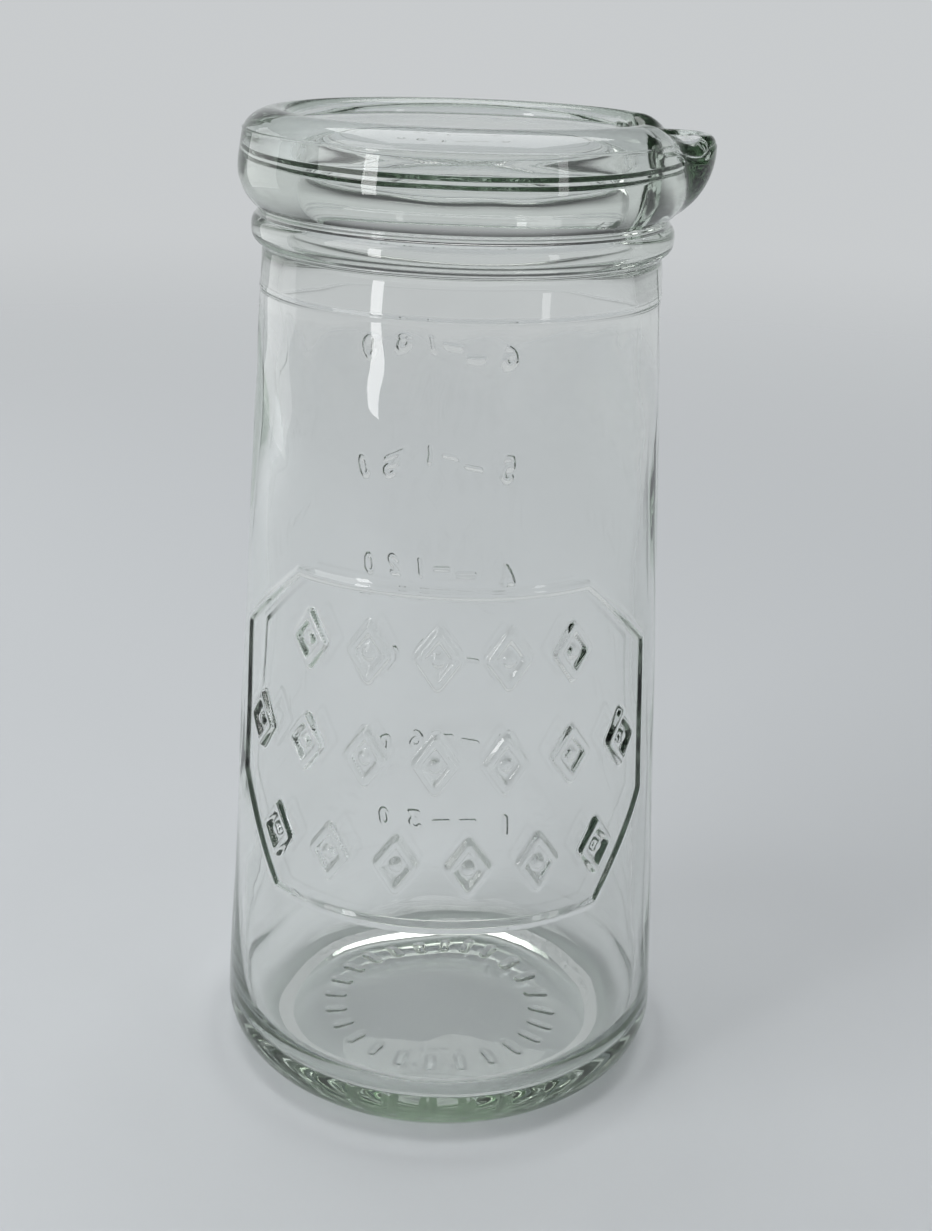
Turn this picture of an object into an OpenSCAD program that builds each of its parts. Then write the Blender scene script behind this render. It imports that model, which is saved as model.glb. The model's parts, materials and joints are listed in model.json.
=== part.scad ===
// Urine specimen glass: a tapered bottle with a thick rim and a pouring lip.
// It is one casting of clear glass. Each module below is one feature that the
// mould cuts into it, and neighbouring features meet face to face.
// Z is up, with the origin on the axis at the underside. The lip points along
// +X, the framed panel faces -Y and the scale of volumes is on the +Y side.

/* [Body] */
// Outer radius of the wall just above the heel
foot_r = 30; // [27:0.5:33]
// Outer radius of the wall where it meets the neck bead
neck_r = 24.4; // [23:0.2:26]
// Height of the top of the tapered wall
neck_h = 110.2; // [100:0.2:125]
// Thickness of the glass in the wall
wall = 2.4; // [1.8:0.1:3]

/* [Base] */
// Radius of the rounded heel
heel_r = 6.5; // [4:0.5:8]
// Height of the inside floor above the table
floor_z = 4; // [3:0.25:6]
// Radius of the inside corner between floor and wall
floor_fillet_r = 6; // [3:0.5:8]
// Width of the flat ring that the glass stands on
bearing_w = 2.5; // [1.5:0.5:4]
// Height of the domed hollow in the underside
push_up_h = 1.8; // [1.4:0.1:2.2]
// Number of ribs in the ring under the base
rib_count = 24; // [12:1:30]
// Radius of the middle of the rib ring
rib_ring_r = 15; // [12:0.5:16]
// Length of a rib along the radius
rib_l = 3.2; // [2:0.2:4]
// Width of a rib
rib_w = 1.1; // [0.8:0.1:1.6]
// Depth that a rib stands out of the hollow
rib_h = 0.4; // [0.2:0.05:0.5]

/* [Neck and rim] */
// Height of the round bead around the neck
bead_h = 4.2; // [3:0.2:5]
// Distance that the bead stands out from the neck
bead_out = 1.3; // [0.8:0.1:1.8]
// Height of the rim, from the groove over the bead to the crest
rim_h = 11.6; // [10:0.2:14]
// Distance that the rim stands out from the neck
rim_out = 2.8; // [2:0.1:3.6]
// Height of the curved underside of the rim
rim_under_h = 5.4; // [4:0.2:6]
// Radius of the mouth above the seat
mouth_r = 21.1; // [20:0.1:21.8]
// Depth of the seat below the crest
seat_depth = 6; // [5:0.25:7.5]
// Radial width of the seat in the mouth
seat_w = 1.1; // [0.6:0.1:1.6]
// Height over which the wall thickens from neck to throat
shoulder_h = 5.2; // [3:0.2:5.6]

/* [Pouring lip] */
// Distance that the lip reaches out past the rim
lip_reach = 2.8; // [2:0.1:3.6]
// Radius of the round nose under the lip
lip_nose_r = 8.8; // [8:0.1:9.6]
// Height of the middle of the nose below the crest
lip_nose_drop = 3.4; // [3:0.1:4]
// Depth of the top of the lip below the crest
lip_drop = 1.4; // [0.8:0.1:2]
// Radius of the hollow that the liquid runs out through
channel_r = 6.2; // [5:0.1:7]
// Thickness of the glass at the tip of the lip
lip_edge = 1.5; // [1:0.1:2.2]
// Height of the middle of the hollow above the crest
channel_rise = 0.5; // [0:0.1:1]

/* [Panel] */
// Height that the relief stands out from the wall
relief_h = 0.7; // [0.4:0.05:1]
// Width of the line that frames the panel
frame_w = 1.1; // [0.8:0.1:1.6]
// Height of the lower edge of the frame
frame_low_z = 30.8; // [28:0.2:33]
// Height of the upper edge of the frame
frame_high_z = 74.7; // [73:0.2:80]
// Lower end of the upright sides of the frame
frame_side_low_z = 43.6; // [38:0.2:46]
// Upper end of the upright sides of the frame
frame_side_high_z = 64.7; // [62:0.2:67]
// Angle from the middle of the panel to its upright sides
frame_side_a = 65.5; // [62:0.5:70]
// Angle from the middle of the panel to the ends of its lower edge
frame_low_a = 45.5; // [40:0.5:50]
// Angle from the middle of the panel to the ends of its upper edge
frame_high_a = 41.2; // [40:0.2:46]
// Width of one lozenge
lozenge_w = 6; // [5:0.2:7]
// Height of one lozenge
lozenge_h = 8.6; // [7:0.2:9]
// Width of the line that draws a lozenge
stroke_w = 1.2; // [0.8:0.1:1.5]
// Radius of the round boss inside a lozenge
boss_r = 0.9; // [0.5:0.1:1.1]
// Angle from one lozenge to the next
lozenge_pitch_a = 18; // [17:0.5:19]
// Height of the middle of the upper row
upper_row_z = 66.2; // [65:0.2:67]
// Height of the middle of the middle row
middle_row_z = 52.9; // [52:0.2:54]
// Height of the middle of the lower row
lower_row_z = 39.4; // [39:0.2:40]

/* [Scale] */
// Volume between two marks of the larger scale, in cubic centimetres
mark_step = 30; // [30:1:32]
// Volume between two marks of the smaller scale, one fluid ounce
ounce = 29.57; // [29:0.01:30]
// Number of marks in each scale
mark_count = 6; // [3:1:6]
// Length of a mark along the wall
tick_l = 3; // [2:0.1:3.6]
// Height of a mark's line
tick_h = 0.6; // [0.4:0.05:0.8]
// Angle from the middle of the scale to the middle of each column of marks
tick_a = 4.2; // [4:0.1:5]
// Height that the marks and numbers stand out from the wall
mark_relief = 0.35; // [0.2:0.05:0.5]
// Height of a number
digit_h = 3.2; // [2.6:0.1:3.4]
// Width of a number
digit_w = 1.9; // [1.6:0.1:2.2]
// Width of the line that draws a number
digit_stroke = 0.5; // [0.35:0.05:0.6]
// Angle from one digit to the next
digit_pitch_a = 10.6; // [9:0.1:11.5]
// Angle from the middle of the scale to the first digit of a volume
digit_start_a = 12.4; // [11.6:0.1:14]
// Angle from the middle of the scale to the digit beside an ounce mark
ounce_digit_a = 16; // [12:0.2:20]

/* [Hidden] */
$fn = 96;

// Colours of the glass, and of its raised relief
glass_c = [0.80, 0.88, 0.86, 0.45];
relief_c = [0.62, 0.76, 0.72, 0.7];
lip_c = [0.30, 0.48, 0.40, 0.8];

// Radii and heights that follow from the sizes above
bead_r = bead_h / 2;
rim_z = neck_h + bead_h;
crest_z = rim_z + rim_h;
rim_r = neck_r + rim_out;
under_r = (rim_out * rim_out + rim_under_h * rim_under_h) / (2 * rim_out);
crest_r = (rim_r - mouth_r) / 2;
crest_mid_z = crest_z - crest_r;
seat_z = crest_z - seat_depth;
throat_r = mouth_r - seat_w;
base_top_z = floor_z + floor_fillet_r;
// The relief is cut from shapes that run from one of these radii to the other
inside_r = neck_r - 2 * wall;
outside_r = foot_r + 2 * relief_h;
bearing_r = foot_r - heel_r;
hollow_r = bearing_r - bearing_w;
dome_r = (hollow_r * hollow_r + push_up_h * push_up_h) / (2 * push_up_h);
lip_tip_r = rim_r + lip_reach;
lip_nose_x = lip_tip_r - lip_nose_r;
lip_nose_z = crest_z - lip_nose_drop;
lip_top_z = crest_z - lip_drop;
channel_z = crest_z + channel_rise;
channel_x = lip_tip_r - lip_edge - sqrt(channel_r * channel_r - pow(channel_z - lip_top_z, 2));

// Taper of the wall, as radius lost for each unit of height
taper = (foot_r - neck_r) / (neck_h - heel_r);
// Outer and inner radius of the tapered wall at height z
function wall_r(z) = foot_r - taper * (z - heel_r);
function cavity_r(z) = wall_r(z) - wall;
cavity_floor_r = cavity_r(floor_z);
// Volume that the rounded inside corner takes away, from the area of the
// corner and the place of its centroid
corner_share = 1 - PI / 4;
corner_centroid = 0.2234;
corner_volume = 2 * PI * (cavity_floor_r - corner_centroid * floor_fillet_r)
    * corner_share * floor_fillet_r * floor_fillet_r;
// Height of the liquid's surface when the glass holds a volume in cubic centimetres
function level(cc) = floor_z + (cavity_floor_r
    - pow(pow(cavity_floor_r, 3) - 3 * taper * (1000 * cc + corner_volume) / PI, 1 / 3)) / taper;

// Strokes of each digit, on a grid two wide and four high, bottom left at zero
STROKES = [
    [[[0, 1], [0, 3], [0.6, 4], [1.4, 4], [2, 3], [2, 1], [1.4, 0], [0.6, 0], [0, 1]]],
    [[[1, 0], [1, 4]]],
    [[[0, 3.2], [0.6, 4], [1.4, 4], [2, 3.2], [2, 2.6], [0, 0], [2, 0]]],
    [[[0, 4], [2, 4], [0.9, 2.4], [1.5, 2.3], [2, 1.6], [2, 0.8], [1.4, 0], [0.6, 0], [0, 0.7]]],
    [[[1.5, 0], [1.5, 4], [0, 1.2], [2, 1.2]]],
    [[[1.9, 4], [0.3, 4], [0.1, 2.2], [1.3, 2.5], [2, 1.7], [2, 0.8], [1.4, 0], [0.6, 0], [0, 0.6]]],
    [[[1.7, 4], [0.7, 3.3], [0, 2], [0, 0.9], [0.6, 0], [1.4, 0], [2, 0.8], [2, 1.5], [1.4, 2.2],
      [0.6, 2.2], [0, 1.4]]],
    [[[0, 4], [2, 4], [0.8, 0]]],
    [[[0.6, 2.1], [0, 2.8], [0, 3.4], [0.6, 4], [1.4, 4], [2, 3.4], [2, 2.8], [1.4, 2.1], [0.6, 2.1],
      [0, 1.4], [0, 0.7], [0.6, 0], [1.4, 0], [2, 0.7], [2, 1.4], [1.4, 2.1]]],
    [[[0.3, 0], [1.3, 0.7], [2, 2], [2, 3.1], [1.4, 4], [0.6, 4], [0, 3.2], [0, 2.5], [0.6, 1.8],
      [1.4, 1.8], [2, 2.6]]]
];

// Half of the section inside the outer surface, from the table to the crest
module outer_section() {
    difference() {
        union() {
            square([bearing_r, heel_r]);
            intersection() {
                translate([bearing_r, heel_r]) circle(r = heel_r);
                square([foot_r, heel_r]);
            }
            polygon([[0, heel_r], [foot_r, heel_r], [neck_r, neck_h], [0, neck_h]]);
            translate([0, neck_h]) square([neck_r, bead_h]);
            translate([neck_r + bead_out - bead_r, neck_h + bead_r]) circle(r = bead_r);
            intersection() {
                translate([rim_r - under_r, rim_z + rim_under_h]) circle(r = under_r);
                translate([0, rim_z]) square([rim_r, rim_under_h]);
            }
            translate([0, rim_z + rim_under_h])
                square([rim_r, crest_mid_z - rim_z - rim_under_h]);
            translate([mouth_r + crest_r, crest_mid_z]) circle(r = crest_r);
            translate([0, rim_z]) square([mouth_r + crest_r, crest_mid_z - rim_z]);
        }
        translate([0, push_up_h - dome_r]) circle(r = dome_r, $fn = 360);
    }
}

// Half of the section of the hollow that holds the liquid
module cavity_section() {
    corner_r = cavity_r(base_top_z) - floor_fillet_r;
    translate([0, floor_z]) square([corner_r, floor_fillet_r]);
    intersection() {
        translate([corner_r, base_top_z]) circle(r = floor_fillet_r);
        translate([0, floor_z]) square([foot_r, floor_fillet_r]);
    }
    polygon([
        [0, base_top_z], [cavity_r(base_top_z), base_top_z], [cavity_r(neck_h), neck_h],
        [throat_r, neck_h + shoulder_h], [throat_r, seat_z], [0, seat_z]
    ]);
    translate([0, seat_z]) square([mouth_r, crest_z - seat_z]);
}

// The glass between two heights
module glass_ring(low_z, high_z) {
    rotate_extrude() intersection() {
        difference() {
            outer_section();
            cavity_section();
        }
        translate([0, low_z]) square([foot_r, high_z - low_z]);
    }
}

// The skin of given height on the outside of the tapered wall
module wall_skin(height) {
    rotate_extrude() polygon([
        [foot_r, heel_r], [foot_r + height, heel_r], [neck_r + height, neck_h], [neck_r, neck_h]
    ]);
}

// Stands a flat outline up on the wall, at an angle from -Y and a height,
// reading from outside. It runs from inside the glass to outside it.
module on_wall(a, z) {
    rotate([0, 0, a]) translate([0, -inside_r, z]) rotate([90, 0, 0])
        linear_extrude(height = outside_r - inside_r) children();
}

// A straight stroke with round ends between two points of an outline
module stroke(p, q, w) {
    run = q - p;
    translate(p) rotate(atan2(run[1], run[0])) translate([0, -w / 2]) square([norm(run), w]);
    translate(p) circle(d = w);
    translate(q) circle(d = w);
}

// The bottom of the glass, with its heel, its bearing ring and its domed hollow
module base() {
    color(glass_c) glass_ring(0, base_top_z);
}

// The tapered wall from the base to the neck
module body_wall() {
    color(glass_c) glass_ring(base_top_z, neck_h);
}

// The round bead around the neck
module neck_bead() {
    color(glass_c) glass_ring(neck_h, rim_z);
}

// The hollow of the pouring lip
module lip_channel() {
    translate([channel_x, 0, channel_z]) sphere(r = channel_r);
}

// The thick rim, with the seat in the mouth, open towards the lip
module rim() {
    color(glass_c) difference() {
        glass_ring(rim_z, crest_z);
        lip_channel();
    }
}

// The pouring lip, drawn out of the rim
module pouring_lip() {
    color(lip_c) difference() {
        translate([lip_nose_x, 0, lip_nose_z]) sphere(r = lip_nose_r);
        rotate_extrude() {
            outer_section();
            square([mouth_r + crest_r, crest_z]);
        }
        translate([0, -foot_r, lip_top_z]) cube([2 * foot_r, 2 * foot_r, foot_r]);
        lip_channel();
    }
}

// The ring of short ribs in the domed hollow of the underside
module base_ribs() {
    color(relief_c) intersection() {
        rotate_extrude() intersection() {
            difference() {
                translate([0, push_up_h - dome_r]) circle(r = dome_r, $fn = 360);
                translate([0, push_up_h - dome_r - rib_h]) circle(r = dome_r, $fn = 360);
            }
            translate([rib_ring_r - rib_l / 2, 0]) square([rib_l, push_up_h]);
        }
        union() for (i = [0:rib_count - 1])
            rotate([0, 0, i * 360 / rib_count])
                translate([0, -rib_w / 2, 0]) cube([bearing_r, rib_w, push_up_h]);
    }
}

// What lies outside the straight edge of an outline on the wall, between two
// points at given angles and heights. The points run anticlockwise, seen from
// outside, and the inset moves the edge inwards.
module beyond_edge(a1, z1, a2, z2, inset) {
    mid_z = (z1 + z2) / 2;
    half_run = wall_r(mid_z) * sin((a2 - a1) / 2);
    on_wall((a1 + a2) / 2, mid_z)
        translate([-half_run, z1 - mid_z]) rotate(atan2(z2 - z1, 2 * half_run))
            translate([-foot_r, inset - foot_r]) square([3 * foot_r, foot_r]);
}

// Everything in front of the eight-sided panel, drawn in by an inset
module panel_block(inset) {
    side_a = frame_side_a - inset / wall_r(middle_row_z) * 180 / PI;
    far = 4 * outside_r;
    difference() {
        translate([0, 0, frame_low_z + inset])
            linear_extrude(height = frame_high_z - frame_low_z - 2 * inset)
                polygon([[0, 0], far * [-sin(side_a), -cos(side_a)], far * [sin(side_a), -cos(side_a)]]);
        for (side = [0, 1])
            mirror([side, 0, 0]) {
                beyond_edge(frame_low_a, frame_low_z, frame_side_a, frame_side_low_z, inset);
                beyond_edge(frame_side_a, frame_side_high_z, frame_high_a, frame_high_z, inset);
            }
    }
}

// The raised line that frames the panel, with eight sides
module panel_frame() {
    color(relief_c) difference() {
        intersection() {
            wall_skin(relief_h);
            panel_block(0);
        }
        panel_block(frame_w);
    }
}

// A diamond shape with given half width and half height
module diamond(half_w, half_h) {
    polygon([[-half_w, 0], [0, -half_h], [half_w, 0], [0, half_h]]);
}

// An outlined lozenge with a round boss in its middle
module lozenge() {
    edge = norm([lozenge_w, lozenge_h]);
    difference() {
        diamond(lozenge_w / 2, lozenge_h / 2);
        diamond(lozenge_w / 2 - stroke_w * edge / lozenge_h, lozenge_h / 2 - stroke_w * edge / lozenge_w);
    }
    circle(r = boss_r);
}

// A row of lozenges, centred on the panel
module lozenge_row(z, count) {
    color(relief_c) intersection() {
        wall_skin(relief_h);
        union() for (i = [0:count - 1])
            on_wall((i - (count - 1) / 2) * lozenge_pitch_a, z) lozenge();
    }
}

module panel_upper_row() {
    lozenge_row(upper_row_z, 5);
}

module panel_middle_row() {
    lozenge_row(middle_row_z, 7);
}

module panel_lower_row() {
    lozenge_row(lower_row_z, 6);
}

// One digit, centred on its place
module digit(n) {
    unit = [(digit_w - digit_stroke) / 2, (digit_h - digit_stroke) / 4];
    for (line = STROKES[n], i = [0:len(line) - 2]) {
        p = [(line[i][0] - 1) * unit[0], (line[i][1] - 2) * unit[1]];
        q = [(line[i + 1][0] - 1) * unit[0], (line[i + 1][1] - 2) * unit[1]];
        stroke(p, q, digit_stroke);
    }
}

// The digits of a number, most significant first
function digits(n) = n < 10 ? [n] : concat(digits(floor(n / 10)), [n % 10]);

// A column of marks at the levels of equal volumes. Side 1 is on the left of
// the scale for someone who reads it from outside, and side -1 on the right.
module marks(side, step) {
    color(relief_c) intersection() {
        wall_skin(mark_relief);
        union() for (k = [1:mark_count])
            on_wall(180 + side * tick_a, level(k * step))
                stroke([-tick_l / 2, 0], [tick_l / 2, 0], tick_h);
    }
}

module volume_marks() {
    marks(1, mark_step);
}

module ounce_marks() {
    marks(-1, ounce);
}

// The numbers beside the larger scale
module volume_numbers() {
    color(relief_c) intersection() {
        wall_skin(mark_relief);
        union() for (k = [1:mark_count]) {
            row = digits(k * mark_step);
            for (i = [0:len(row) - 1])
                on_wall(180 + digit_start_a + i * digit_pitch_a, level(k * mark_step))
                    digit(row[i]);
        }
    }
}

// The numbers beside the smaller scale
module ounce_numbers() {
    color(relief_c) intersection() {
        wall_skin(mark_relief);
        union() for (k = [1:mark_count])
            on_wall(180 - ounce_digit_a, level(k * ounce)) digit(k);
    }
}

base();
body_wall();
neck_bead();
rim();
pouring_lip();
base_ribs();
panel_frame();
panel_upper_row();
panel_middle_row();
panel_lower_row();
volume_marks();
volume_numbers();
ounce_marks();
ounce_numbers();
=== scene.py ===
"""The looks of a urine specimen glass: one casting of clear glass on a pale table."""

import json
import math

import bmesh
import bpy
import numpy as np
from mathutils import Matrix, Vector


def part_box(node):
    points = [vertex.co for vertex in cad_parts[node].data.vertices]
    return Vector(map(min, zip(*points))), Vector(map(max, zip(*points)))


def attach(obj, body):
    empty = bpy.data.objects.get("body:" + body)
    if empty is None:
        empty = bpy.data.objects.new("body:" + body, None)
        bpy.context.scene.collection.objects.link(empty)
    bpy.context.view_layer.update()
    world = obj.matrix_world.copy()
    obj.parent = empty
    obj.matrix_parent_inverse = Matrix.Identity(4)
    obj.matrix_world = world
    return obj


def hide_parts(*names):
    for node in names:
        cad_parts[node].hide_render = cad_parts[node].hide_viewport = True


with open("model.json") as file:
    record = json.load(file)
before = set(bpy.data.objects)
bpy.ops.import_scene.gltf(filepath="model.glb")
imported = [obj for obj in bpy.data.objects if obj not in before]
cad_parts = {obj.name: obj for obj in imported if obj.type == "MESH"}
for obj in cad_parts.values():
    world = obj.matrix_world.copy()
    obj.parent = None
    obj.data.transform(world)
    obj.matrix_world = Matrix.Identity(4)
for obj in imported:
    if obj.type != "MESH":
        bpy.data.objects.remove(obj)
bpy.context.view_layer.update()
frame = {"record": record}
MM = 0.001

# The camera. It stands a little over 20 cm away, just above the crest of the
# glass, and looks down at it, turned slightly about its own axis.
FRAME_H_PX = 1231
FOCAL_PX = 1700
SENSOR = 36.0
CAMERA_AWAY = 210.9 * MM
CAMERA_HEIGHT = 141.7 * MM
CAMERA_AZIMUTH = math.radians(2.7)
CAMERA_PITCH = math.radians(20.76)
CAMERA_YAW = math.radians(0.55)
CAMERA_ROLL = math.radians(2.02)

camera_data = bpy.data.cameras.new("camera")
camera_data.sensor_width = SENSOR
camera_data.lens = FOCAL_PX * SENSOR / FRAME_H_PX
camera_data.clip_start = 0.005
camera = bpy.data.objects.new("camera", camera_data)
camera.matrix_world = (
    Matrix.Translation((
        CAMERA_AWAY * math.sin(CAMERA_AZIMUTH),
        -CAMERA_AWAY * math.cos(CAMERA_AZIMUTH),
        CAMERA_HEIGHT,
    ))
    @ Matrix.Rotation(CAMERA_AZIMUTH - CAMERA_YAW, 4, "Z")
    @ Matrix.Rotation(math.pi / 2 - CAMERA_PITCH, 4, "X")
    @ Matrix.Rotation(CAMERA_ROLL, 4, "Z")
)
bpy.context.scene.collection.objects.link(camera)
bpy.context.scene.camera = camera


# The glass. It is one casting of soda-lime glass, pressed and then blown in a
# mould: a tapered wall on a domed base, a bead at the neck and a thick rim.
# Everything that the mould cuts into it is part of the same skin.
FOOT_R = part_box("base")[1][0]
NECK_R = 24.4 * MM
NECK_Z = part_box("body_wall")[1][2]
BEAD_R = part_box("neck_bead")[1][0]
RIM_LOW_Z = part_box("rim")[0][2]
CREST_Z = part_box("rim")[1][2]
RIM_R = -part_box("rim")[0][0]
MOUTH_R = next(m for m in frame["record"]["mounts"] if m["name"] == "mouth")["dims"]["r_mm"] * MM
HEEL_R = 6.5 * MM
WALL = 2.4 * MM
FLOOR_Z = 4.0 * MM
FLOOR_FILLET = 6.0 * MM
HOLLOW_R = 21.0 * MM
PUSH_UP = 1.8 * MM
SEAT_Z = CREST_Z - 6.0 * MM
SEAT_W = 0.62 * MM
THROAT_R = MOUTH_R - 1.1 * MM
THROAT_Z = 115.4 * MM
BORE_TOP_Z = NECK_Z - 6 * MM
CREST_R = 2.95 * MM
CREST_LOW_Z = CREST_Z - CREST_R
TAPER = (FOOT_R - NECK_R) / (NECK_Z - HEEL_R)
SEGMENTS = 192
ARC_STEP = 0.55 * MM
WALL_STEP = 1.3 * MM
BORE_STEP = 2.2 * MM
BEAD_STEP = 0.4 * MM
RIM_STEP = 0.5 * MM
SEAT_STEP = 0.3 * MM
DOME_STEP = 1.3 * MM
RIB_STEP = 0.56 * MM
RIB_RING_R = 15 * MM


def wall_r(z):
    """Outer radius of the tapered wall at a height."""
    return FOOT_R - TAPER * (z - HEEL_R)


def rounded(corners):
    """Points along a line whose corners are (radius, height, fillet, step).

    The fillet rounds the corner, and the step is the longest stretch allowed
    between points from that corner to the next one.
    """
    points = []
    for k, (r, z, fillet, step) in enumerate(corners):
        here = Vector((r, z))
        stretch = [here]
        if fillet > 0:
            into = (here - Vector(corners[k - 1][:2])).normalized()
            out = (Vector(corners[k + 1][:2]) - here).normalized()
            turn = into.angle_signed(out)
            start = here - into * fillet * math.tan(abs(turn) / 2)
            side = Vector((into.y, -into.x)) * math.copysign(1, turn)
            centre = start + side * fillet
            arm = start - centre
            count = max(3, math.ceil(fillet * abs(turn) / ARC_STEP))
            stretch = [
                centre + Matrix.Rotation(-turn * i / count, 2) @ arm for i in range(count + 1)
            ]
        if points:
            last = points[-1]
            run = stretch[0] - last
            count = max(1, math.ceil(run.length / corners[k - 1][3]))
            points += [last + run * i / count for i in range(1, count)]
        points += stretch
    return points


def dome_z(r):
    """Height of the domed hollow under the base."""
    dome_r = (HOLLOW_R ** 2 + PUSH_UP ** 2) / (2 * PUSH_UP)
    return PUSH_UP - dome_r + math.sqrt(dome_r ** 2 - r ** 2)


# Rings of the mesh under the base, closest where the ribs stand
dome_rings = [DOME_STEP * i for i in range(10)]
dome_rings += [RIB_RING_R + RIB_STEP * i for i in range(-4, 5)]
dome_rings += [18.2 * MM, 19.2 * MM, 20.0 * MM]
outside = [(r, dome_z(r), 0, MM) for r in dome_rings] + [
    (HOLLOW_R, 0, 0.5 * MM, 0.8 * MM),
    (FOOT_R + TAPER * HEEL_R, 0, HEEL_R, WALL_STEP),
    (NECK_R, NECK_Z + 0.16 * MM, 0.6 * MM, BEAD_STEP),
    (BEAD_R, NECK_Z + 0.7 * MM, 1.6 * MM, BEAD_STEP),
    (BEAD_R, RIM_LOW_Z - 0.7 * MM, 1.6 * MM, BEAD_STEP),
    (NECK_R, RIM_LOW_Z - 0.1 * MM, 0.5 * MM, BEAD_STEP),
    (RIM_R, RIM_LOW_Z + 1.97 * MM, 5.6 * MM, RIM_STEP),
    (RIM_R, CREST_Z - 6.0 * MM, 6.0 * MM, RIM_STEP),
    (RIM_R - 0.65 * MM, CREST_Z - 1.75 * MM, 3.0 * MM, RIM_STEP),
    (RIM_R - 2.9 * MM, CREST_Z, 4.6 * MM, RIM_STEP),
    (MOUTH_R, CREST_Z, 1.6 * MM, RIM_STEP),
]
inside = [
    (MOUTH_R, SEAT_Z + 0.7 * MM, 0.2 * MM, SEAT_STEP),
    (MOUTH_R - SEAT_W, SEAT_Z, 0.12 * MM, SEAT_STEP),
    (MOUTH_R - SEAT_W, SEAT_Z - 0.35 * MM, 0.12 * MM, SEAT_STEP),
    (THROAT_R, SEAT_Z - 0.8 * MM, 0.3 * MM, 2 * SEAT_STEP),
    (THROAT_R, THROAT_Z, 12.0 * MM, 0.7 * MM),
    (wall_r(BORE_TOP_Z) - WALL, BORE_TOP_Z, 20.0 * MM, BORE_STEP),
    (wall_r(FLOOR_Z) - WALL, FLOOR_Z, FLOOR_FILLET, 2.0 * MM),
    (0, FLOOR_Z, 0, MM),
]
section = rounded(outside + inside)

NECK_SEAM_Z = 105.4 * MM
NECK_SEAM_H = 0.09 * MM
RIM_SEAM_Z = CREST_Z - 2.3 * MM
RIM_SEAM_H = 0.16 * MM
SEAM_HALF_W = 0.12 * MM
SEAM_CLEAR = 1.4 * SEAM_HALF_W


def raise_line(z, height):
    """Put a fine ridge around the outside, where two parts of the mould met."""
    k = next(i for i, p in enumerate(section) if p.x > NECK_R - WALL / 2 and p.y > z)
    along = (section[k] - section[k - 1]).normalized()
    middle = section[k - 1] + along * (z - section[k - 1].y) / along.y
    while (section[k - 1] - middle).length < SEAM_CLEAR:
        del section[k - 1]
        k -= 1
    while (section[k] - middle).length < SEAM_CLEAR:
        del section[k]
    section[k:k] = [
        middle - along * SEAM_HALF_W,
        middle + Vector((along.y, -along.x)) * height,
        middle + along * SEAM_HALF_W,
    ]


raise_line(NECK_SEAM_Z, NECK_SEAM_H)
raise_line(RIM_SEAM_Z, RIM_SEAM_H)

glass_bm = bmesh.new()
section_verts = [glass_bm.verts.new((p.x, 0, p.y)) for p in section]
for p, q in zip(section_verts, section_verts[1:]):
    glass_bm.edges.new((p, q))
bmesh.ops.spin(
    glass_bm, geom=glass_bm.verts[:] + glass_bm.edges[:], cent=(0, 0, 0), axis=(0, 0, 1),
    dvec=(0, 0, 0), angle=2 * math.pi, steps=SEGMENTS, use_merge=True, use_duplicate=False,
)
bmesh.ops.remove_doubles(glass_bm, verts=glass_bm.verts[:], dist=0.001 * MM)
bmesh.ops.recalc_face_normals(glass_bm, faces=glass_bm.faces[:])


# The relief on the outside: the frame of the panel and its lozenges, and the
# marks and numbers of the two scales. The mould leaves each as a low ridge.
def place(a, z, points, half_w, height):
    """Strokes along a line of points, in metres around (angle, height) on the wall.

    A stroke is (angle, height, angle, height, half width, relief), with angles
    from the middle of the panel, on the -Y side.
    """
    r = wall_r(z)
    at = [(a + x / r, z + y) for x, y in points]
    return [(*p, *q, half_w, height) for p, q in zip(at, at[1:])]


FRAME_RELIEF = 0.36 * MM
FRAME_HALF_W = 0.42 * MM
FRAME_CORNERS = [(45.0, 31.35), (65.0, 43.8), (65.0, 64.5), (40.7, 74.15)]
frame_line = [(math.radians(a), z * MM) for a, z in FRAME_CORNERS]
frame_line += [(-a, z) for a, z in reversed(frame_line)]
strokes = [
    (*p, *q, FRAME_HALF_W, FRAME_RELIEF)
    for p, q in zip(frame_line, frame_line[1:] + frame_line[:1])
]

LOZENGE = [(2.27, 0), (0, 3.25), (-2.27, 0), (0, -3.25), (2.27, 0)]
LOZENGE_PITCH = math.radians(18)
LOZENGE_RELIEF = 0.65 * MM
LOZENGE_HALF_W = 0.55 * MM
BOSS_R = 0.85 * MM
for row_z, count in ((66.2, 5), (52.9, 7), (39.4, 6)):
    for i in range(count):
        a = (i - (count - 1) / 2) * LOZENGE_PITCH
        outline = [(x * MM, y * MM) for x, y in LOZENGE]
        strokes += place(a, row_z * MM, outline, LOZENGE_HALF_W, LOZENGE_RELIEF)
        strokes += place(a, row_z * MM, [(0, 0), (0, 0)], BOSS_R, LOZENGE_RELIEF)

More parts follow.
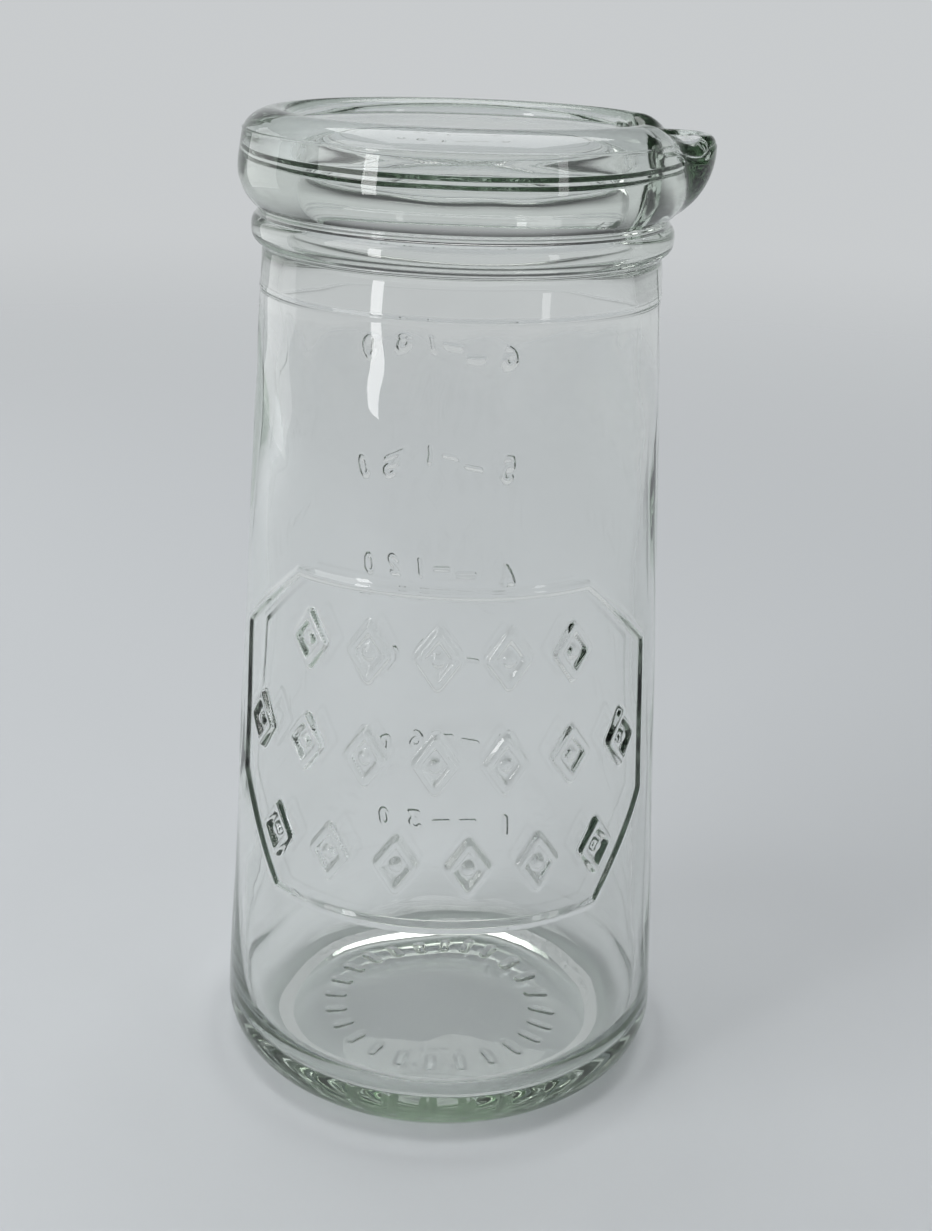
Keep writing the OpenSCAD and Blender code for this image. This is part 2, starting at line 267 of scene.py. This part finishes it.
DIGITS = {
    "0": [(0, 1), (0, 3), (0.6, 4), (1.4, 4), (2, 3), (2, 1), (1.4, 0), (0.6, 0), (0, 1)],
    "1": [(1, 0), (1, 4)],
    "2": [(0, 3.2), (0.6, 4), (1.4, 4), (2, 3.2), (2, 2.6), (0, 0), (2, 0)],
    "3": [(0, 4), (2, 4), (0.9, 2.4), (1.5, 2.3), (2, 1.6), (2, 0.8), (1.4, 0), (0.6, 0),
          (0, 0.7)],
    "4": [(1.5, 0), (1.5, 4), (0, 1.2), (2, 1.2)],
    "5": [(1.9, 4), (0.3, 4), (0.1, 2.2), (1.3, 2.5), (2, 1.7), (2, 0.8), (1.4, 0), (0.6, 0),
          (0, 0.6)],
    "6": [(1.7, 4), (0.7, 3.3), (0, 2), (0, 0.9), (0.6, 0), (1.4, 0), (2, 0.8), (2, 1.5),
          (1.4, 2.2), (0.6, 2.2), (0, 1.4)],
    "8": [(0.6, 2.1), (0, 2.8), (0, 3.4), (0.6, 4), (1.4, 4), (2, 3.4), (2, 2.8), (1.4, 2.1),
          (0.6, 2.1), (0, 1.4), (0, 0.7), (0.6, 0), (1.4, 0), (2, 0.7), (2, 1.4), (1.4, 2.1)],
    "9": [(0.3, 0), (1.3, 0.7), (2, 2), (2, 3.1), (1.4, 4), (0.6, 4), (0, 3.2), (0, 2.5),
          (0.6, 1.8), (1.4, 1.8), (2, 2.6)],
}
DIGIT_W = 0.7 * MM
DIGIT_H = 0.675 * MM
DIGIT_HALF_W = 0.32 * MM
OUNCE_DIGIT_A = math.radians(16)
VOLUME_DIGIT_A = math.radians(12.4)
DIGIT_PITCH = math.radians(10.6)
MARK_RELIEF = 0.4 * MM
TICK = [(-1.25 * MM, 0), (1.25 * MM, 0)]
TICK_HALF_W = 0.27 * MM
TICK_A = math.radians(4.2)
MARK_CC = 30
OUNCE_CC = 29.57
CC = 1e-6
# How far in from the wall the middle of the corner that a fillet fills lies,
# in fillet radii
CORNER_CENTROID = 0.2234


def level(cc):
    """Height of the liquid's surface when the glass holds a volume in cubic centimetres."""
    r = wall_r(FLOOR_Z) - WALL
    corner_area = (1 - math.pi / 4) * FLOOR_FILLET ** 2
    corner = 2 * math.pi * (r - CORNER_CENTROID * FLOOR_FILLET) * corner_area
    left = r ** 3 - 3 * TAPER * (cc * CC + corner) / math.pi
    return FLOOR_Z + (r - left ** (1 / 3)) / TAPER


def digit(name, a, z):
    """Strokes of one digit, centred on its place."""
    points = [((x - 1) * DIGIT_W, (y - 2) * DIGIT_H) for x, y in DIGITS[name]]
    return place(a, z, points, DIGIT_HALF_W, MARK_RELIEF)


for k in range(1, 7):
    volume_z = level(MARK_CC * k)
    ounce_z = level(OUNCE_CC * k)
    strokes += place(math.pi + TICK_A, volume_z, TICK, TICK_HALF_W, MARK_RELIEF)
    strokes += place(math.pi - TICK_A, ounce_z, TICK, TICK_HALF_W, MARK_RELIEF)
    strokes += digit(str(k), math.pi - OUNCE_DIGIT_A, ounce_z)
    for i, name in enumerate(str(MARK_CC * k)):
        strokes += digit(name, math.pi + VOLUME_DIGIT_A + DIGIT_PITCH * i, volume_z)
strokes = np.array(strokes)
FLANK = 0.42 * MM
CROWN_DROP = 0.25
STROKE_REACH = 3 * MM
STROKE_REACH_A = 0.12


def turned(a, origin):
    """Angle from an origin, between minus and plus half a turn."""
    return (a - origin + math.pi) % (2 * math.pi) - math.pi


def ridge(inner):
    """Share of its full relief that a ridge has at a distance inside its edge."""
    t = np.clip(inner / FLANK + 0.5, 0, 1)
    return t * t * (3 - 2 * t)


def over_strokes(a, z, r):
    """How far inside its stroke each place is, and the height of the relief there."""
    depth = np.full(a.shape, -1.0)
    height = np.zeros(a.shape)
    for a0, z0, a1, z1, half_w, relief in strokes:
        mid = (a0 + a1) / 2
        near = (np.abs(z - (z0 + z1) / 2) < abs(z1 - z0) / 2 + STROKE_REACH) \
            & (np.abs(turned(a, mid)) < abs(a1 - a0) / 2 + STROKE_REACH_A)
        x, y = turned(a[near], mid) * r[near], z[near] - z0
        x0, run_x, run_y = (a0 - mid) * r[near], (a1 - a0) * r[near], z1 - z0
        share = ((x - x0) * run_x + y * run_y) / np.maximum(run_x ** 2 + run_y ** 2, 1e-12)
        share = np.clip(share, 0, 1)
        away = np.hypot(x - x0 - share * run_x, y - share * run_y)
        crown = 1 - CROWN_DROP * np.clip(away / half_w, 0, 1) ** 2
        depth[near] = np.maximum(depth[near], half_w - away)
        height[near] = np.maximum(height[near], relief * crown * ridge(half_w - away))
    return depth, height


def on_wall(z, r):
    """Which places are on the outside of the tapered wall."""
    return (r > wall_r(z) - WALL / 2) & (z > HEEL_R) & (z < NECK_Z - MM)


def cylinder(points):
    """Angle from -Y, height and radius of points."""
    co = np.array(points)
    return np.arctan2(co[:, 0], -co[:, 1]), co[:, 2], np.hypot(co[:, 0], co[:, 1])


def refine(choose):
    """Halve the edges of the faces that are chosen by the places of their middles."""
    faces = glass_bm.faces[:]
    chosen = choose(*cylinder([f.calc_center_median() for f in faces]))
    edges = dict.fromkeys(e for k in np.flatnonzero(chosen) for e in faces[k].edges)
    bmesh.ops.subdivide_edges(glass_bm, edges=list(edges), cuts=1, use_grid_fill=True)


SIDE_A = math.pi / 2
LIP_SPAN = math.radians(30)
RIB_L = 3.2 * MM
RIB_W = 1.1 * MM
RIB_H = 0.2 * MM
RIB_PITCH = 2 * math.pi / 24
UNDERSIDE_Z = 2 * MM
REFINE_REACHES = (1.4 * MM, 0.8 * MM)
SEAM_REACH = 0.8 * MM
for reach in REFINE_REACHES:
    refine(lambda a, z, r: on_wall(z, r) & (over_strokes(a, z, r)[0] > -reach))
refine(lambda a, z, r: on_wall(z, r) & (np.abs(np.abs(a) - SIDE_A) * r < SEAM_REACH))
refine(lambda a, z, r: (z < UNDERSIDE_Z) & (np.abs(r - RIB_RING_R) < RIB_L / 2 + 0.5 * MM))
refine(lambda a, z, r: (np.abs(a - SIDE_A) < LIP_SPAN) & (z > SEAT_Z - MM) & (r > THROAT_R + MM))

verts = glass_bm.verts[:]
a, z, r = cylinder([v.co for v in verts])
new_r, new_z = r.copy(), z.copy()
wall = on_wall(z, r)
smooth_wall = wall & (np.abs(z - NECK_SEAM_Z) > 0.4 * MM)
new_r[smooth_wall] = (wall_r(z) + over_strokes(a, z, r)[1])[smooth_wall]

# The two halves of the mould meet in a faint line down each side, and the
# ribs stand under the base
SIDE_SEAM_H = 0.07 * MM
SIDE_SEAM_W = 0.3 * MM
side_seam = SIDE_SEAM_H * np.exp(-(((np.abs(a) - SIDE_A) * r / SIDE_SEAM_W) ** 2))
new_r[wall] += side_seam[wall]
across = np.abs((a + RIB_PITCH / 2) % RIB_PITCH - RIB_PITCH / 2) * r
along = np.maximum(np.abs(r - RIB_RING_R) - (RIB_L - RIB_W) / 2, 0)
under = (z < UNDERSIDE_Z) & (r < HOLLOW_R - MM)
new_z -= under * RIB_H * ridge(RIB_W / 2 - np.hypot(across, along))


def waves(a, z, terms):
    """Slow waves in the surface, from (turns around, waves a metre up, phase, height)."""
    return sum(h * MM * np.sin(n * a + 2 * math.pi * k * z + p) for n, k, p, h in terms)


def between(z, low, high, soft):
    """Rises from nothing at a low height to one, and falls back before a high one."""
    return np.clip((z - low) / soft, 0, 1) * np.clip((high - z) / soft, 0, 1)


# Blowing leaves slow waves, slight on the outside and stronger on the inside
WALL_WAVES = [(3, 11, 0.4, 0.06), (5, -19, 2.1, 0.05), (8, 31, 4.0, 0.05), (13, -57, 0.9, 0.014)]
BORE_WAVES = [(2, 13, 1.0, 0.09), (3, -29, 0.2, 0.07), (5, 37, 3.3, 0.05), (7, 61, 5.1, 0.025)]
RIM_WAVES = [(5, 45, 0.7, 0.02), (8, -80, 3.0, 0.01), (17, 120, 1.9, 0.006)]
NECK_WAVES = [(15, 90, 3.9, 0.05)]
NECK_WAVES_Z = 80 * MM
THROAT_WAVES = [(5, 70, 2.2, 0.02), (8, -95, 0.5, 0.01), (13, 140, 4.4, 0.006)]
BORE_LOW_Z = FLOOR_Z + 4 * MM
THROAT_LOW_Z = THROAT_Z - 4 * MM
new_r[wall] += (between(z, HEEL_R, NECK_Z - MM, 6 * MM) * waves(a, z, WALL_WAVES))[wall]
new_r[wall] += (between(z, NECK_WAVES_Z, NECK_Z - MM, 12 * MM) * waves(a, z, NECK_WAVES))[wall]
bore = (r < wall_r(z) - WALL / 2) & (z > BORE_LOW_Z) & (z < THROAT_Z) & (r > HOLLOW_R / 2)
new_r[bore] += (between(z, BORE_LOW_Z, THROAT_Z, 7 * MM) * waves(a, z, BORE_WAVES))[bore]
rim = (z > RIM_LOW_Z) & (r > NECK_R)
new_r[rim] += (between(z, RIM_LOW_Z, CREST_Z, 3 * MM) * waves(a, z, RIM_WAVES))[rim]
throat = (z > THROAT_LOW_Z) & (r < NECK_R - WALL)
throat_wave = between(z, THROAT_LOW_Z, CREST_LOW_Z, 3 * MM) * waves(a, z, THROAT_WAVES)
new_r[throat] += throat_wave[throat]


# The pouring lip: the rim swells into a rounded nose on the +X side, and a
# channel runs out through its crest. It is drawn out of the soft rim.
# Each egg-shaped form is (centre's radius, centre's height, length, width, depth)
NOSE = (21.2 * MM, CREST_Z - 3.4 * MM, 8.8 * MM, 8.8 * MM, 8.8 * MM)
CHANNEL = (21.0 * MM, CREST_Z + 0.5 * MM, 7.88 * MM, 6.1 * MM, 6.2 * MM)
NOSE_BLEND = 0.9 * MM
CHANNEL_BLEND = 0.5 * MM
LIP_DROP = 1.4 * MM
DROP_FROM_A = math.radians(24)
DROP_OVER_A = math.radians(13)


def blend_max(p, q, soft):
    """The larger of two numbers, with the corner between them rounded."""
    h = np.clip(0.5 + 0.5 * (p - q) / soft, 0, 1)
    return q + (p - q) * h + soft * h * (1 - h)


def egg_r(side, z, centre_x, centre_z, length, width, depth):
    """Distance from the axis to the far side of an egg-shaped form, or nothing beside it."""
    square = (np.cos(side) / length) ** 2 + (np.sin(side) / width) ** 2
    half = centre_x * np.cos(side) / length ** 2
    k = 1 - ((z - centre_z) / depth) ** 2
    root = half ** 2 - square * ((centre_x / length) ** 2 - k)
    return np.where(root > 0, (half + np.sqrt(np.maximum(root, 0))) / square, 0)


peak = max(range(len(section)), key=lambda i: section[i].y)
profile_z, profile_r = zip(*[(p.y, p.x) for p in section[:peak] if p.y > NECK_Z + 2 * MM])


def nose_r(side, z):
    """Outer radius of the rim with its nose."""
    plain = np.interp(np.minimum(z, CREST_LOW_Z), profile_z, profile_r)
    return blend_max(plain, egg_r(side, z, *NOSE), NOSE_BLEND)


def channel_r(side, z):
    """Inner radius of the mouth with its channel."""
    return blend_max(np.full(z.shape, MOUTH_R), egg_r(side, z, *CHANNEL), CHANNEL_BLEND)


side = turned(a, SIDE_A)
near_lip = np.abs(side) < LIP_SPAN
ease = np.clip((DROP_FROM_A - np.abs(side)) / DROP_OVER_A, 0, 1)
top_z = CREST_Z - LIP_DROP * ease * ease * (3 - 2 * ease)
arc_h = np.full(z.shape, CREST_R)
for _ in range(6):
    base_z = top_z - arc_h
    arc_h = np.minimum(CREST_R, (nose_r(side, base_z) - channel_r(side, base_z)) / 2)
base_z = top_z - arc_h
outer_base, inner_base = nose_r(side, base_z), channel_r(side, base_z)


def stretched(low_z):
    """Heights between a low one and the foot of the crest, drawn to the crest's new foot."""
    return np.where(z > low_z, low_z + (z - low_z) * (base_z - low_z) / (CREST_LOW_Z - low_z), z)


flare = near_lip & (r > NECK_R - 0.4 * MM) & (z > RIM_LOW_Z - 0.1 * MM) & (z <= CREST_LOW_Z)
lifted = stretched(SEAT_Z - 0.2 * MM)
swell = nose_r(side, lifted) - nose_r(side * 0 + LIP_SPAN, z)
new_r[flare] += swell[flare]
new_z[flare] = lifted[flare]

mouth = near_lip & (r < MOUTH_R + 0.1 * MM) & (z > SEAT_Z + MM) & (z <= CREST_LOW_Z)
lifted = stretched(SEAT_Z + MM)
new_r[mouth] += (channel_r(side, lifted) - MOUTH_R)[mouth]
new_z[mouth] = lifted[mouth]

crest = near_lip & (z > CREST_LOW_Z)
share = (r - MOUTH_R) / (RIM_R - MOUTH_R)
new_r[crest] += (inner_base + share * (outer_base - inner_base) - r)[crest]
new_z[crest] = (base_z + (z - CREST_LOW_Z) / CREST_R * arc_h)[crest]

for v, k, h in zip(verts, new_r / np.maximum(r, 1e-9), new_z):
    v.co.x *= k
    v.co.y *= k
    v.co.z = h

glass_mesh = bpy.data.meshes.new("glass_casting")
glass_bm.to_mesh(glass_mesh)
glass_bm.free()
glass_mesh.shade_smooth()
glass = bpy.data.objects.new("glass_casting", glass_mesh)
bpy.context.scene.collection.objects.link(glass)


# The finish: clear soda-lime glass, faintly green where it is thick. Fire has
# polished it, but its skin keeps a fine ripple, the mouth is a little
# crinkled, and the ring that it stands on is scuffed.
class Wire:
    """A socket of a node tree, so that shader maths reads as plain expressions."""

    def __init__(self, tree, socket=None):
        self.tree, self.socket = tree, socket

    def node(self, kind, inputs=None, out=0, **settings):
        """Add a node of a type, with its settings, and values or links for its sockets."""
        new = self.tree.nodes.new("ShaderNode" + kind)
        for name, value in settings.items():
            setattr(new, name, value)
        for name, value in (inputs or {}).items():
            if isinstance(value, Wire):
                self.tree.links.new(value.socket, new.inputs[name])
            else:
                new.inputs[name].default_value = value
        return Wire(self.tree, new.outputs[out] if new.outputs else None)

    def math(self, operation, *values):
        return self.node("Math", dict(enumerate(values)), operation=operation)

    def step(self, low, high):
        """Rises smoothly from nothing at a low value to one at a high one."""
        bounds = {"Value": self, "From Min": low, "From Max": high}
        return self.node("MapRange", bounds, interpolation_type="SMOOTHSTEP")

    def __add__(self, other):
        return self.math("ADD", self, other)

    def __sub__(self, other):
        return self.math("SUBTRACT", self, other)

    def __rsub__(self, other):
        return self.math("SUBTRACT", other, self)

    def __mul__(self, other):
        return self.math("MULTIPLY", self, other)

    __radd__ = __add__
    __rmul__ = __mul__


def new_tree(owner):
    """An empty node tree on a material or world."""
    owner.use_nodes = True
    owner.node_tree.nodes.clear()
    return Wire(owner.node_tree)


GLASS_INDEX = 1.515
ABSORBED_PER_M = (11.0, 8.0, 11.2)
ABSORB_DENSITY = 20.0

glass_material = bpy.data.materials.new("clear_glass")
wire = new_tree(glass_material)
on_glass = wire.node("TexCoord", out="Object")
height = wire.node("SeparateXYZ", {0: on_glass}, out="Z")
flat = wire.node("VectorMath", {0: on_glass, 1: (1, 1, 0)}, operation="MULTIPLY")
radius = wire.node("VectorMath", {0: flat}, out="Value", operation="LENGTH")


def grain(scale, detail):
    """Noise over the glass, from 0 to 1, with features of about 1 / scale metres."""
    return wire.node("TexNoise", {"Vector": on_glass, "Scale": scale, "Detail": detail})


stood_on = 1 - height.step(0.05 * MM, 0.3 * MM)
crinkled = height.step(SEAT_Z, SEAT_Z + 3 * MM) * (1 - radius.step(MOUTH_R, MOUTH_R + MM))
scuffs = stood_on * grain(900, 3).step(0.3, 0.7)
smears = grain(60, 4).step(0.55, 0.8) * grain(700, 2).step(0.45, 0.7)
roughness = scuffs * 0.04 + crinkled * 0.01 + smears * 0.012
skin = grain(110, 2) + grain(600, 3) * 0.06 + crinkled * grain(1600, 3) * 0.12
ripple = wire.node("Bump", {"Strength": 0.35, "Distance": 0.06 * MM, "Height": skin})
shader = wire.node("BsdfPrincipled", {
    "Base Color": (1, 1, 1, 1),
    "Transmission Weight": 1.0,
    "IOR": GLASS_INDEX,
    "Roughness": roughness,
    "Normal": ripple,
})
absorb = wire.node("VolumeAbsorption", {
    "Color": (*[1 - s / ABSORB_DENSITY for s in ABSORBED_PER_M], 1),
    "Density": ABSORB_DENSITY,
})
wire.node("OutputMaterial", {"Surface": shader, "Volume": absorb})
glass_mesh.materials.append(glass_material)
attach(glass, "root")
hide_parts(*[s["node"] for s in frame["record"]["subparts"]])


# The table: a wide round of pale paper that the glass stands on. It fades out
# far from the glass into the pale surroundings.
TABLE_R = 1.0
table_bm = bmesh.new()
bmesh.ops.create_circle(table_bm, cap_ends=True, segments=96, radius=TABLE_R)
table_mesh = bpy.data.meshes.new("table_top")
table_bm.to_mesh(table_mesh)
table_bm.free()
table = bpy.data.objects.new("table_top", table_mesh)
bpy.context.scene.collection.objects.link(table)
PAPER = (0.595, 0.62, 0.64, 1)
FADE_FROM = 0.18
FADE_TO = 0.8

table_material = bpy.data.materials.new("pale_paper")
wire = new_tree(table_material)
on_table = wire.node("TexCoord", out="Object")
away = wire.node("VectorMath", {0: on_table}, out="Value", operation="LENGTH")
paper = wire.node("BsdfDiffuse", {"Color": PAPER})
clear = wire.node("BsdfTransparent")
wire.node("OutputMaterial", {
    "Surface": wire.node("MixShader", {0: away.step(FADE_FROM, FADE_TO), 1: paper, 2: clear}),
})
table_mesh.materials.append(table_material)


# The light: a broad soft lamp overhead, two softer ones to the left, and two
# narrow strips beside the camera that draw streaks down the neck. The world is
# pale at the horizon behind the glass, duller in front and dim overhead.
def lamp(name, azimuth, elevation, distance, size, radiance, aim_z=0.0, through=False):
    """A soft lamp aimed at the glass, at an azimuth from -Y towards +X.

    It shows in the glass as a reflection, and through the glass only if told to.
    """
    data = bpy.data.lights.new(name, "AREA")
    data.shape = "RECTANGLE"
    data.size, data.size_y = size
    data.energy = radiance * math.pi * data.size * data.size_y
    obj = bpy.data.objects.new(name, data)
    a, e = math.radians(azimuth), math.radians(elevation)
    arm = Vector((math.sin(a) * math.cos(e), -math.cos(a) * math.cos(e), math.sin(e)))
    obj.location = Vector((0, 0, aim_z)) + arm * distance
    obj.rotation_euler = arm.to_track_quat("Z", "Y").to_euler()
    obj.visible_camera = False
    obj.visible_transmission = through
    bpy.context.scene.collection.objects.link(obj)


lamp("overhead", 180, 80, 2.0, (2.0, 2.0), 2.6, through=True)
lamp("window", -60, 35, 0.8, (0.4, 0.6), 2.2)
lamp("side", -117, 5, 0.42, (0.24, 0.4), 0.8, CREST_Z / 2)
lamp("strip_left", -42, 12, 0.32, (0.04, 0.16), 7.0, CREST_Z / 2)
lamp("strip_right", 50, 12, 0.4, (0.036, 0.15), 3.0, CREST_Z / 2)

WORLD_BACK, WORLD_FRONT, WORLD_TOP = 0.6, 0.3, 0.06
world = bpy.data.worlds.new("studio")
bpy.context.scene.world = world
wire = new_tree(world)
heading = wire.node("TexCoord", out="Generated")
behind = wire.node("SeparateXYZ", {0: heading}, out="Y").step(-0.6, 0.6)
above = wire.node("SeparateXYZ", {0: heading}, out="Z").step(0.08, 0.5)
around = behind * (WORLD_BACK - WORLD_FRONT) + WORLD_FRONT
glow = around * (1 - above) + above * WORLD_TOP
pale = wire.node("CombineColor", {0: glow * 0.97, 1: glow, 2: glow * 1.02})
wire.node("OutputWorld", {"Surface": wire.node("Background", {0: pale, 1: 1.0})})

# Light has to pass many surfaces of the glass before it dies out
cycles = bpy.context.scene.cycles
cycles.max_bounces = cycles.transmission_bounces = 48
cycles.glossy_bounces = 24
cycles.diffuse_bounces = 6
cycles.transparent_max_bounces = 16
cycles.blur_glossy = 0.0
cycles.sample_clamp_indirect = 0.0
bpy.context.scene.view_settings.view_transform = "Standard"
